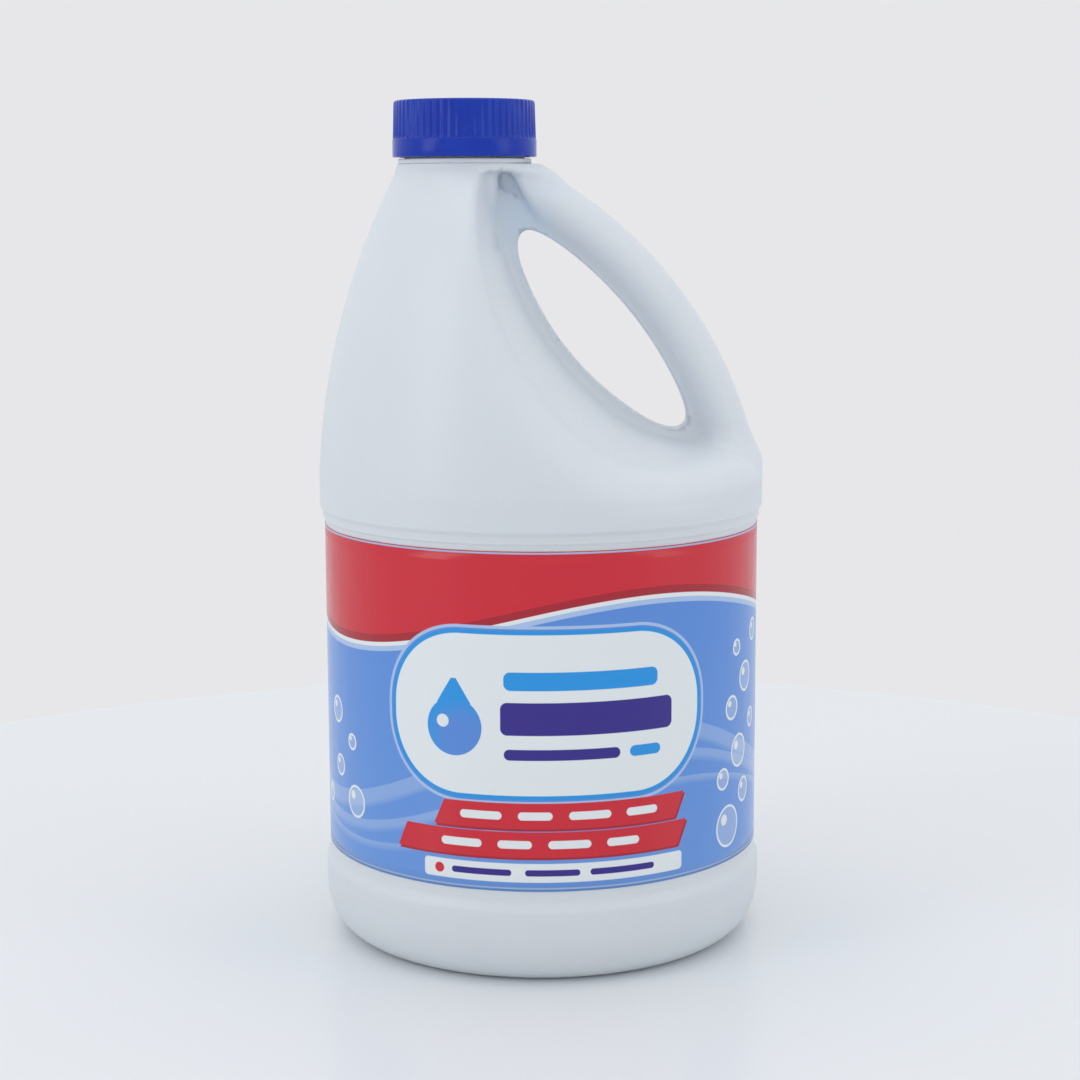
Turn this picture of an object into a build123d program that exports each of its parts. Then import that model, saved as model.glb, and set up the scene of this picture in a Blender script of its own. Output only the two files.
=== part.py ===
from build123d import *

import os
from math import acos, asin, degrees, radians, sqrt, tan

# Bleach bottle with a handle, a screw cap, a foam seal and a wrapped label.
# Millimetres. +Z is up and z = 0 is the standing ring. The origin is on the body's axis.
# The label's front faces -Y and the handle is on +X. The neck stands off the axis, towards -X.

# Bottle: body
wall = 1.0                      # side wall of the moulding
dome_top_wall = 1.6             # the wall is this many times as thick where the dome meets the collar
body_radius = 68.2              # at the heel
ring_width = 3.7                # flat ring that it stands on
push_up = 5.0                   # hollow of the base, at its middle
heel_corner = 11.5              # quarter ellipse from the ring to the side, across
heel_height = 15.9              # and up
heel_straight = 6.5
panel_depth = 1.3               # the label panel lies this far under the heel
panel_lead = 4.2                # height of the step from the heel to the panel
panel_height = 103.3
shoulder_lead = 4.3             # height of the step from the panel to the shoulder
shoulder_rise = 0.25            # the shoulder stands this far proud of the heel
shoulder_height = 8.8

# Bottle: dome, between two outlines in the handle's plane
dome_height = 93.3
dome_front_arc = 217.0          # outline on the side away from the handle
dome_back_arc = 128.5           # outline on the handle's side
dome_sections = 9

# Bottle: finger recess
recess_arc = 90.2               # edge of the lip along the body's side of the finger hole
recess_under_collar = 8.5       # its upper end, in from the collar's edge
recess_over_collar = 0.6        # and up from the collar's bottom
recess_top_gap = 3.8            # the recess ends this far under the collar
recess_top_radius = 7.0
recess_foot_inset = 20.45       # its lower end, in from the shoulder's outside
recess_foot_height = 9.3        # and up from the shoulder
recess_foot_slope = 14.0        # degrees that its floor rises towards the outside
recess_foot_radius = 15.0
recess_taper = 8.0              # degrees that its wall opens outward
lip_depth = 3.5                 # the lip stands this far into the recess
lip_width = 11.0                # across the handle's plane

# Bottle: handle
grip_thickness = 15.6           # in the handle's plane
grip_width = 23.0               # across the handle's plane
grip_arc = 123.4                # curve of its middle line
grip_foot_inset = 8.7           # the line's lower end, in from the shoulder's outside
grip_top_offset = 7.5           # its upper end, from the neck's axis
grip_top_gap = 1.8              # and under the collar
web_thickness = 6.0             # pinched web at the two ends of the finger hole
web_lap = 2.0                   # the web runs this far into the lip and the handle
hole_end_radius = 6.6

# Neck finish and closure
neck_offset = 22.8              # from the body's axis to the neck's axis
neck_root_radius = 18.2
neck_wall = 1.8
collar_width = 2.1              # outside the thread's root
collar_height = 2.7
collar_sunk = 1.0               # its foot lies this far inside the dome
thread_pitch = 4.233
thread_depth = 1.2
thread_root_width = 2.0         # along the axis
thread_crest_width = 1.2
thread_clearance = 0.35         # between the two threads, on every side
thread_lead = 5.0               # collar's top to the middle of the thread's lower end
thread_run_out = 3.25           # middle of its upper end to the rim
thread_sunk = 0.3               # a thread's foot lies this far inside its wall
cap_gap = 0.5                   # under the cap's edge
cap_height = 16.9
cap_top_thickness = 1.6
cap_bore_clearance = 0.5        # the cap's inside to the neck's thread
cap_wall = 2.0                  # at the plain band
cap_band_height = 5.3
cap_ledge = 0.15                # the fluted part is this much smaller than the band
cap_taper = 0.3                 # and loses this much towards the top
cap_edge = 0.9
flute_count = 60
flute_depth = 0.45
flute_radius = 0.8
seal_thickness = 1.2
seal_clearance = 0.5            # to the cap's inside

# Label
label_thickness = 0.2
label_bottom_margin = 2.5       # from the panel's ends
label_top_margin = 1.4
label_overlap = 9.0             # seam at the back, along the girth

os.makedirs("parts", exist_ok=True)

# Sizes that follow: body, from the bottom up
ring_outer_radius = body_radius - heel_corner
ring_inner_radius = ring_outer_radius - ring_width
panel_radius = body_radius - panel_depth
shoulder_radius = body_radius + shoulder_rise
heel_top = heel_height + heel_straight
panel_bottom = heel_top + panel_lead
panel_top = panel_bottom + panel_height
shoulder_bottom = panel_top + shoulder_lead
shoulder_top = shoulder_bottom + shoulder_height
collar_bottom = shoulder_top + dome_height
collar_top = collar_bottom + collar_height

# Neck, cap and seal
neck_x = -neck_offset
neck_bore_radius = neck_root_radius - neck_wall
neck_crest_radius = neck_root_radius + thread_depth
collar_radius = neck_root_radius + collar_width
cap_inner_radius = neck_crest_radius + cap_bore_clearance
cap_radius = cap_inner_radius + cap_wall
cap_bottom = collar_top + cap_gap
cap_top = cap_bottom + cap_height
seal_top = cap_top - cap_top_thickness
rim = seal_top - seal_thickness
thread_bottom = collar_top + thread_lead
thread_height = rim - thread_run_out - thread_bottom


def arc_centre(bottom, top, radius, side):
    """Centre of the arc from bottom to top, both (x, z), on its left (side 1) or right (side -1)."""
    run = top[0] - bottom[0]
    rise = top[1] - bottom[1]
    chord = sqrt(run**2 + rise**2)
    set_back = side * sqrt(radius**2 - (chord / 2) ** 2)
    return ((bottom[0] + top[0]) / 2 - set_back * rise / chord,
            (bottom[1] + top[1]) / 2 + set_back * run / chord)


# Curves of the recess and the handle in the handle's plane
recess_top = collar_bottom - recess_top_gap
recess_foot_x = shoulder_radius - recess_foot_inset
recess_centre = arc_centre((recess_foot_x, shoulder_top + recess_foot_height),
                           (neck_x + collar_radius - recess_under_collar,
                            collar_bottom + recess_over_collar), recess_arc, -1)
grip_foot = (shoulder_radius - grip_foot_inset, shoulder_top)
grip_top = (neck_x + grip_top_offset, collar_bottom - grip_top_gap)
grip_centre = arc_centre(grip_foot, grip_top, grip_arc, 1)
grip_inner_arc = grip_arc - grip_thickness / 2


def dome_circle(height, inset):
    """Middle and radius of the dome's round section at a height."""
    base_radius = shoulder_radius - inset
    top_radius = collar_radius - dome_top_wall * inset
    front_arc = dome_front_arc - inset
    front_centre = arc_centre((-base_radius, shoulder_top), (neck_x - top_radius, collar_bottom),
                              front_arc, -1)
    back_arc = dome_back_arc - inset
    back_centre = arc_centre((base_radius, shoulder_top), (neck_x + top_radius, collar_bottom),
                             back_arc, 1)
    front = front_centre[0] - sqrt(front_arc**2 - (height - front_centre[1]) ** 2)
    back = back_centre[0] + sqrt(back_arc**2 - (height - back_centre[1]) ** 2)
    return (front + back) / 2, (back - front) / 2


def lower_body(inset):
    """Base, heel, label panel and shoulder ring, drawn in by the inset."""
    with BuildPart() as body:
        with BuildSketch(Plane.XZ):
            with BuildLine():
                base = TangentArc((0, push_up + inset), (ring_inner_radius, inset), tangent=(1, 0))
                Line(base @ 1, (ring_outer_radius, inset))
                EllipticalCenterArc((ring_outer_radius, heel_height), heel_corner - inset,
                                    heel_height - inset, start_angle=270, arc_size=90)
                side = Line((body_radius - inset, heel_height), (body_radius - inset, heel_top))
                waist = Spline(side @ 1, (panel_radius - inset, panel_bottom),
                               tangents=((0, 1), (0, 1)))
                panel = Line(waist @ 1, (panel_radius - inset, panel_top))
                step = Spline(panel @ 1, (shoulder_radius - inset, shoulder_bottom),
                              tangents=((0, 1), (0, 1)))
                Polyline(step @ 1, (shoulder_radius - inset, shoulder_top), (0, shoulder_top),
                         (0, push_up + inset))
            make_face()
        revolve(axis=Axis.Z)
    return body.part


def recess(arc, inset, depth):
    """Space for the fingers, from the handle's plane out to one side."""
    radius = arc + inset
    lid = recess_top + inset
    top_angle = degrees(asin((recess_centre[1] - recess_top + recess_top_radius) / radius))
    foot_angle = degrees(acos((recess_centre[0] - recess_foot_x) / radius))
    reach = 2 * shoulder_radius
    with BuildPart() as space:
        with BuildSketch(Plane.XZ.offset(depth)) as outline:
            with BuildLine():
                back = CenterArc(recess_centre, radius, 180 + top_angle, foot_angle - top_angle)
                start = back @ 0
                foot = back @ 1
                TangentArc(start, (start.X + recess_top_radius, lid), tangent=(0, 1))
                Polyline((start.X + recess_top_radius, lid), (reach, lid),
                         (reach, foot.Y + (reach - foot.X) * tan(radians(recess_foot_slope))), foot)
            make_face()
            low = outline.vertices().sort_by(Axis.Y)[0]
            fillet(low, recess_foot_radius)
        extrude(amount=reach, taper=0 if depth == 0 else -recess_taper)
    return space.part


def dome(inset):
    """Round sections from the shoulder to the neck, less the finger recess on both sides."""
    inner = recess(recess_arc, inset, 0)
    outer = recess(recess_arc + lip_depth, inset, lip_width / 2 - inset)
    with BuildPart() as body:
        for step in range(dome_sections):
            height = shoulder_top + (collar_bottom - shoulder_top) * step / (dome_sections - 1)
            middle, radius = dome_circle(height, inset)
            with BuildSketch(Plane.XY.offset(height)):
                with Locations(Location((middle, 0, 0), (0, 0, 180))):
                    Circle(radius)
        loft()
        for space in (inner, outer):
            add(space, mode=Mode.SUBTRACT)
            add(mirror(space, about=Plane.XZ, mode=Mode.PRIVATE), mode=Mode.SUBTRACT)
    return body.part


def grip(inset):
    """Hollow handle, from inside the collar to inside the shoulder."""
    with BuildPart() as tube:
        with BuildLine(Plane.XZ) as middle_line:
            RadiusArc(grip_foot, grip_top, -grip_arc)
        with BuildSketch(Plane(middle_line.line @ 0, x_dir=(0, 1, 0), z_dir=middle_line.line % 0)):
            Ellipse(grip_width / 2 - inset, grip_thickness / 2 - inset)
        sweep()
    return tube.part


def thread(root_radius, crest_radius, middle_z):
    """One helical thread about the neck's axis, from its root to its crest."""
    outward = 1 if crest_radius > root_radius else -1
    with BuildPart() as ridge:
        with BuildLine() as helix:
            Helix(thread_pitch, thread_height, root_radius, center=(neck_x, 0, middle_z))
        start = helix.line @ 0
        with BuildSketch(Plane(start, x_dir=(1, 0, 0), z_dir=(0, -1, 0))):
            with BuildLine():
                Polyline((-outward * thread_sunk, -thread_root_width / 2),
                         (crest_radius - root_radius, -thread_crest_width / 2),
                         (crest_radius - root_radius, thread_crest_width / 2),
                         (-outward * thread_sunk, thread_root_width / 2), close=True)
            make_face()
        sweep(path=helix.line, is_frenet=True)
    return ridge.part


# Bottle
outer_body = lower_body(0)
outer_dome = dome(0)
outer_grip = grip(0)
neck_thread = thread(neck_root_radius, neck_crest_radius, thread_bottom)

inner_body = lower_body(wall)
inner_dome = dome(wall)
inner_grip = grip(wall)

# finger hole between the lip and the handle, with round ends
with BuildSketch() as finger_hole:
    with Locations(recess_centre):
        Circle(recess_arc)
    with Locations(grip_centre):
        Circle(grip_inner_arc, mode=Mode.INTERSECT)
    fillet(finger_hole.vertices(), hole_end_radius)

with BuildPart() as hollow:
    add(inner_body)
    add(inner_dome)
    add(inner_grip)
    with BuildSketch(Plane.XY.offset(collar_bottom - 2 * wall)):
        with Locations((neck_x, 0)):
            Circle(neck_bore_radius)
    extrude(amount=rim - collar_bottom + 2 * wall)

with BuildPart() as bottle:
    add(outer_body)
    add(outer_dome)
    add(outer_grip)
    # pinched web at the two ends of the finger hole
    with BuildSketch(Plane.XZ):
        with Locations(recess_centre):
            Circle(recess_arc + web_lap)
        with Locations(grip_centre):
            Circle(grip_inner_arc + web_lap, mode=Mode.INTERSECT)
        add(finger_hole.sketch, mode=Mode.SUBTRACT)
    extrude(amount=web_thickness / 2, both=True)
    # collar and neck
    with BuildSketch(Plane.XY.offset(collar_bottom - collar_sunk)):
        with Locations((neck_x, 0)):
            Circle(collar_radius)
    extrude(amount=collar_height + collar_sunk)
    with BuildSketch(Plane.XY.offset(collar_top)):
        with Locations((neck_x, 0)):
            Circle(neck_root_radius)
    extrude(amount=rim - collar_top)
    add(neck_thread)
    add(hollow.part, mode=Mode.SUBTRACT)
bottle.part.label = "bottle"
export_step(bottle.part, "parts/bottle.step")

# Cap
cap_thread = thread(cap_inner_radius, neck_root_radius + thread_clearance,
                    thread_bottom - thread_pitch / 2)
ledge_z = cap_bottom + cap_band_height
fluted_radius = cap_radius - cap_ledge

with BuildPart() as cap:
    with BuildSketch(Plane((neck_x, 0, 0), x_dir=(1, 0, 0), z_dir=(0, -1, 0))):
        with BuildLine():
            Polyline((0, cap_top), (0, seal_top), (cap_inner_radius, seal_top),
                     (cap_inner_radius, cap_bottom), (cap_radius, cap_bottom), (cap_radius, ledge_z),
                     (fluted_radius, ledge_z), (fluted_radius - cap_taper, cap_top), close=True)
        make_face()
    revolve(axis=Axis((neck_x, 0, 0), (0, 0, 1)))
    fillet(cap.edges().filter_by(GeomType.CIRCLE).group_by(Axis.Z)[-1], cap_edge)
    with BuildSketch(Plane((neck_x, 0, ledge_z))):
        with PolarLocations(fluted_radius + flute_radius - flute_depth, flute_count):
            Circle(flute_radius)
    extrude(amount=cap_height, mode=Mode.SUBTRACT)
    add(cap_thread)
cap.part.label = "cap"
export_step(cap.part, "parts/cap.step")

# Foam seal in the cap
with BuildPart() as cap_seal:
    with BuildSketch(Plane.XY.offset(rim)):
        with Locations((neck_x, 0)):
            Circle(cap_inner_radius - seal_clearance)
    extrude(amount=seal_thickness)
cap_seal.part.label = "cap_seal"
export_step(cap_seal.part, "parts/cap_seal.step")

# Label, wrapped on the panel with a seam at the back
label_radius = panel_radius + label_thickness
label_bottom = panel_bottom + label_bottom_margin
label_height = panel_height - label_bottom_margin - label_top_margin
with BuildPart() as label:
    with BuildSketch(Plane.XY.offset(label_bottom)):
        Circle(label_radius)
        Circle(panel_radius, mode=Mode.SUBTRACT)
    extrude(amount=label_height)
    with BuildSketch(Plane.XY.offset(label_bottom)):
        Circle(label_radius + label_thickness)
        Circle(label_radius, mode=Mode.SUBTRACT)
        with Locations((0, label_radius)):
            Rectangle(label_overlap, 4 * label_thickness, mode=Mode.INTERSECT)
    extrude(amount=label_height)
label.part.label = "label"
export_step(label.part, "parts/label.step")

for piece in (bottle, cap, cap_seal, label):
    print(piece.part.label, piece.part.is_valid, round(piece.part.volume))
print("litres to the brim", round(hollow.part.volume / 1e6, 3))
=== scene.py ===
import math

import bmesh
import bpy
import numpy as np
from mathutils import Matrix, Vector


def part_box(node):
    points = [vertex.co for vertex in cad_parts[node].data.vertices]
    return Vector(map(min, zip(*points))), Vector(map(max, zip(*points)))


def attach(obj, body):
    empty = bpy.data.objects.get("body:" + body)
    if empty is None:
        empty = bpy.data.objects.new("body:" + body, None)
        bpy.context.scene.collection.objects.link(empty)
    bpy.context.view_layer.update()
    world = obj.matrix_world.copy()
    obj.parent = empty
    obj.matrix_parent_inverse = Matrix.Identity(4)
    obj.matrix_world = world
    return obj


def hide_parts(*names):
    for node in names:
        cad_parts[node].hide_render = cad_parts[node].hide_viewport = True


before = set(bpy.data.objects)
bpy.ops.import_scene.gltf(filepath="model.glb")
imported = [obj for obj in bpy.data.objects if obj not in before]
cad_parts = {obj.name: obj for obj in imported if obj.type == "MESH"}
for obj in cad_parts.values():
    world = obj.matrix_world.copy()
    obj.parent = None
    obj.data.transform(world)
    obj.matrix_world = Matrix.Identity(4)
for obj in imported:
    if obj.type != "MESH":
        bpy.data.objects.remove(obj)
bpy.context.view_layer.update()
mm = 0.001
bottleBox = [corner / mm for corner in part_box("bottle")]
capBox = [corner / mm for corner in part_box("cap")]
sealBox = [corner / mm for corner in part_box("cap_seal")]
labelBox = [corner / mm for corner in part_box("label")]
neckX = (capBox[0].x + capBox[1].x) / 2
rimZ = bottleBox[1].z
print("frame loaded")


def link(name, bm):
    mesh = bpy.data.meshes.new(name)
    bm.to_mesh(mesh)
    bm.free()
    mesh.polygons.foreach_set("use_smooth", [True] * len(mesh.polygons))
    obj = bpy.data.objects.new(name, mesh)
    bpy.context.scene.collection.objects.link(obj)
    return obj


def spinProfile(bm, profile, steps, angle=2 * math.pi, rise=0.0, closed=False):
    # turns (radius, height) points in millimetres about the upright axis
    points = [bm.verts.new((r * mm, 0, z * mm)) for r, z in profile]
    ends = points[1:] + points[:1] if closed else points[1:]
    edges = [bm.edges.new(pair) for pair in zip(points, ends)]
    bmesh.ops.spin(bm, geom=points + edges, cent=(0, 0, 0), axis=(0, 0, 1), angle=angle, steps=steps,
                   dvec=(0, 0, rise * mm / steps), use_merge=rise == 0.0)


def smoothMin(a, b, k):
    h = np.clip(0.5 + 0.5 * (b - a) / k, 0, 1)
    return b + (a - b) * h - k * h * (1 - h)


def smoothMax(a, b, k):
    return -smoothMin(-a, -b, k)


def smoothStep(a, b, t):
    u = np.clip((t - a) / (b - a), 0, 1)
    return u * u * (3 - 2 * u)


# millimetres, in the bottle's own frame
bottleSizes = {
    "wall": 1.0,
    "dishRadius": 52.4, "pushUp": 5.0, "ringInner": 53.0, "ringRound": 0.5, "ringOuter": 56.7,
    "heelRadius": 68.2, "heelHeight": 15.9, "heelTop": 22.4,
    "panelBottom": 26.6, "panelTop": 129.9, "panelRadius": 66.9,
    "stepRadius": 67.5, "stepRise": 0.9,
    "shoulderBottom": 134.2, "shoulderRise": 1.7, "shoulderTop": 143.0,
    "collarBottom": 236.3, "collarTop": 239.0, "collarRadius": 20.3,
    "collarSunk": 1.2, "collarBlend": 1.8,
    "frontArc": 217.0, "backArc": 128.5,
    "neckLap": 1.6, "domeLap": 2.5,
    "domeGrid": 1.5, "gridHalf": 71.0, "gridLow": 137.0, "gridHigh": 243.0,
}
handleSizes = {
    "thickness": 15.6, "width": 23.0, "arc": 123.4, "centreX": -61.5, "centreZ": 120.1,
    "rootBlend": 7.0, "foot": 137.0, "front": -18.0,
}
recessSizes = {
    "arc": 90.2, "centreX": 79.2, "centreZ": 236.9, "top": 236.0, "topBlend": 3.0,
    "lipDepth": 3.6, "lipHalf": 5.5, "flare": 0.19,
    "floorX": 48.0, "floorZ": 148.5, "floorSlope": 12.0, "floorBlend": 16.0,
    "ridgeLow": 13.0, "ridgeLowZ": 175.0, "ridgeHigh": 2.5, "ridgeHighZ": 228.0,
    "holeCorner": 14.0, "webBlend": 3.0, "webReach": 6.0, "webLap": 4.0,
    "notchX": -9.0, "notchZ": 235.5, "notchSlope": 0.536, "notchLean": 0.88, "notchFoot": 213.0,
    "notchWidth": 3.5, "notchLap": 0.4, "notchCorner": 1.5, "notchSide": 1.0, "notchBlend": 2.5,
}
sideMax = min(bottleBox[1].x, -bottleBox[0].x) - 0.01


def arcX(z, bottom, top, radius):
    # outline between two (x, z) points, bulging away from the axis
    side = 1 if bottom[0] > 0 else -1
    run, rise = top[0] - bottom[0], top[1] - bottom[1]
    chord = math.hypot(run, rise)
    back = math.sqrt(radius**2 - chord**2 / 4)
    cx = (bottom[0] + top[0]) / 2 - side * back * rise / chord
    cz = (bottom[1] + top[1]) / 2 + side * back * run / chord
    return cx + side * np.sqrt(np.maximum(radius**2 - (z - cz) ** 2, 1))


def domeCircle(z):
    b = bottleSizes
    foot, top = b["shoulderTop"], b["collarBottom"]
    front = arcX(z, (-sideMax, foot), (neckX - b["collarRadius"], top), b["frontArc"])
    back = arcX(z, (sideMax, foot), (neckX + b["collarRadius"], top), b["backArc"])
    return (front + back) / 2, (back - front) / 2


def tubeDistance(rho, y, a, b):
    # to an oval section with half sizes a and b
    k1 = np.sqrt((rho / a) ** 2 + (y / b) ** 2) + 1e-9
    k2 = np.sqrt((rho / a**2) ** 2 + (y / b**2) ** 2) + 1e-9
    return k1 * (k1 - 1) / k2


def domeField(p):
    # distance to the outside of the dome, its handle and the collar, less than zero inside
    b, h, c = bottleSizes, handleSizes, recessSizes
    x, y, z = p[..., 0], p[..., 1], p[..., 2]
    level = np.clip(z, b["shoulderTop"], b["collarTop"])
    centre, radius = domeCircle(level)
    centreUp, radiusUp = domeCircle(level + 0.2)
    rho = np.hypot(x - centre, y) + 1e-9
    lean = np.where(z > b["shoulderTop"],
                    -(centreUp - centre) / 0.2 * (x - centre) / rho - (radiusUp - radius) / 0.2, 0)
    body = (rho - radius) / np.sqrt(1 + lean**2)
    # pocket for the fingers, which opens outwards and has a sloping floor
    reach = np.hypot(x - c["centreX"], z - c["centreZ"])
    flare = c["lipDepth"] + c["flare"] * np.maximum(np.abs(y) - c["lipHalf"], 0)
    pocket = smoothMax(reach - c["arc"] - flare, z - c["top"], c["topBlend"])
    slope = math.radians(c["floorSlope"])
    floor = ((c["floorZ"] - z) + (x - c["floorX"]) * math.tan(slope)) * math.cos(slope)
    pocket = smoothMax(pocket, floor, c["floorBlend"])
    lower = smoothStep(c["ridgeHighZ"], c["ridgeLowZ"], z)
    ridge = c["ridgeHigh"] + (c["ridgeLow"] - c["ridgeHigh"]) * lower
    body = smoothMax(body, -pocket, ridge)
    # handle
    grip = np.hypot(x - h["centreX"], z - h["centreZ"]) - h["arc"]
    tube = tubeDistance(grip, y, h["thickness"] / 2, h["width"] / 2)
    tube = np.maximum(tube, np.maximum(h["foot"] - z, h["front"] - x))
    body = smoothMin(body, tube, h["rootBlend"])
    # deeper corner beside the handle's upper root
    notchLine = c["notchX"] + (c["notchZ"] - z) * c["notchSlope"]
    behind = c["notchX"] - c["notchWidth"] - x
    notch = smoothMax((x - notchLine) * c["notchLean"], behind, c["notchCorner"])
    beside = np.maximum(c["lipHalf"] - c["notchLap"] - np.abs(y), z - c["notchZ"])
    notch = smoothMax(notch, beside, c["notchSide"])
    notch = np.maximum(notch, c["notchFoot"] - z)
    body = smoothMax(body, -notch, c["notchBlend"])
    # thin web and lip round the finger hole
    hole = smoothMax(reach - c["arc"], grip + h["thickness"] / 2, c["holeCorner"])
    web = np.maximum(-hole, np.abs(y) - c["lipHalf"])
    web = np.maximum(web, reach - c["arc"] - c["webReach"])
    web = np.maximum(web, grip + h["thickness"] / 2 - c["webLap"])
    web = np.maximum(web, z - b["collarBottom"])
    body = smoothMin(body, web, c["webBlend"])
    # collar under the cap
    collarFoot = b["collarBottom"] - b["collarSunk"]
    collar = np.maximum(np.hypot(x - neckX, y) - b["collarRadius"], collarFoot - z)
    body = smoothMin(body, collar, b["collarBlend"])
    return np.maximum(body, np.hypot(x, y) - sideMax)


def fieldNormal(field, p, step=0.08):
    g = np.zeros_like(p)
    for i in range(3):
        d = np.zeros(3)
        d[i] = step
        g[:, i] = (field(p + d) - field(p - d)) / (2 * step)
    return g


def skin(field, low, high, h, rounds=3):
    # quads over the surface where the field is zero
    n = np.ceil((np.array(high) - low) / h).astype(int) + 1
    axes = [low[i] + h * np.arange(n[i]) for i in range(3)]
    gx, gy = np.meshgrid(axes[0], axes[1], indexing="ij")
    layers = [field(np.stack([gx, gy, np.full_like(gx, z)], -1)) for z in axes[2]]
    f = np.stack(layers, -1)
    inside = f < 0
    corners = [(i, j, k) for i in (0, 1) for j in (0, 1) for k in (0, 1)]

    def cut(values, c):
        return values[c[0]:n[0] - 1 + c[0], c[1]:n[1] - 1 + c[1], c[2]:n[2] - 1 + c[2]]

    count = sum(cut(inside, c).astype(int) for c in corners)
    active = (count > 0) & (count < 8)
    cells = np.argwhere(active)
    index = -np.ones(active.shape, int)
    index[active] = np.arange(len(cells))
    total = np.zeros((len(cells), 3))
    hits = np.zeros(len(cells))
    for c in corners:
        for axis in range(3):
            if c[axis] == 1:
                continue
            d = list(c)
            d[axis] = 1
            fa, fb = cut(f, c)[active], cut(f, tuple(d))[active]
            cross = (fa < 0) != (fb < 0)
            q = np.tile(np.array(c, float), (len(cells), 1))
            q[:, axis] += np.where(cross, fa / np.where(cross, fa - fb, 1), 0)
            total += q * cross[:, None]
            hits += cross
    verts = np.array(low) + h * (cells + total / hits[:, None])
    faces = []
    for axis in range(3):
        u, v = (axis + 1) % 3, (axis + 2) % 3
        a, b = [slice(None)] * 3, [slice(None)] * 3
        a[axis], b[axis] = slice(0, n[axis] - 1), slice(1, n[axis])
        for g in np.argwhere(inside[tuple(a)] != inside[tuple(b)]):
            if g[u] == 0 or g[v] == 0 or g[u] >= n[u] - 1 or g[v] >= n[v] - 1:
                continue
            ring = []
            for du, dv in ((-1, -1), (0, -1), (0, 0), (-1, 0)):
                q = g.copy()
                q[u] += du
                q[v] += dv
                ring.append(index[tuple(q)])
            faces.append(ring if inside[tuple(g)] else ring[::-1])
    faces = np.array(faces)
    # even out the quads along the surface, then put each point back on it
    for turn in range(rounds + 2):
        if turn < rounds:
            total = np.zeros_like(verts)
            hits = np.zeros(len(verts))
            for i in range(4):
                for j in (1, 3):
                    np.add.at(total, faces[:, i], verts[faces[:, (i + j) % 4]])
                    np.add.at(hits, faces[:, i], 1)
            verts = 0.4 * verts + 0.6 * total / hits[:, None]
        g = fieldNormal(field, verts)
        move = field(verts) / np.maximum((g**2).sum(1), 0.2)
        verts = verts - np.clip(move, -h, h)[:, None] * g
    return verts, faces


def unitNormals(points):
    g = fieldNormal(domeField, points, 0.15)
    return g / np.maximum(np.linalg.norm(g, axis=1), 1e-6)[:, None]


def bodyProfile(top):
    # (radius, height) from the middle of the base to the shoulder
    b = bottleSizes
    dish = [(r, b["pushUp"] * (1 - (r / b["ringInner"]) ** 2))
            for r in np.linspace(0, b["dishRadius"], 14)]
    ring = [(b["ringInner"] + b["ringRound"], 0.0), (b["ringOuter"], 0.0)]
    wide = b["heelRadius"] - b["ringOuter"]
    heel = [(b["ringOuter"] + wide * math.sin(a), b["heelHeight"] * (1 - math.cos(a)))
            for a in np.linspace(0.05, math.pi / 2, 18)]
    points = dish + ring + heel
    steps = ((b["heelTop"], b["panelBottom"], b["heelRadius"], b["panelRadius"]),
             (b["panelTop"], b["panelTop"] + b["stepRise"], b["panelRadius"], b["stepRadius"]),
             (b["shoulderBottom"] - b["shoulderRise"], b["shoulderBottom"], b["stepRadius"], sideMax))
    for low, high, start, end in steps:
        points += [(start + (end - start) * float(smoothStep(low, high, z)), z)
                   for z in np.linspace(low, high, 7)]
    return np.array(points + [(sideMax, b["shoulderBottom"] + 2), (sideMax, top)])


def drawnIn(profile, amount):
    along = np.gradient(profile, axis=0)
    along /= np.linalg.norm(along, axis=1)[:, None]
    inner = profile + amount * np.stack([-along[:, 1], along[:, 0]], 1)
    inner[0, 0] = 0
    inner[-1, 1] = profile[-1, 1]
    return inner


def openEdges(bm, low, high):
    return [e for e in bm.edges if e.is_boundary and all(low * mm < v.co.z < high * mm for v in e.verts)]


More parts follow.
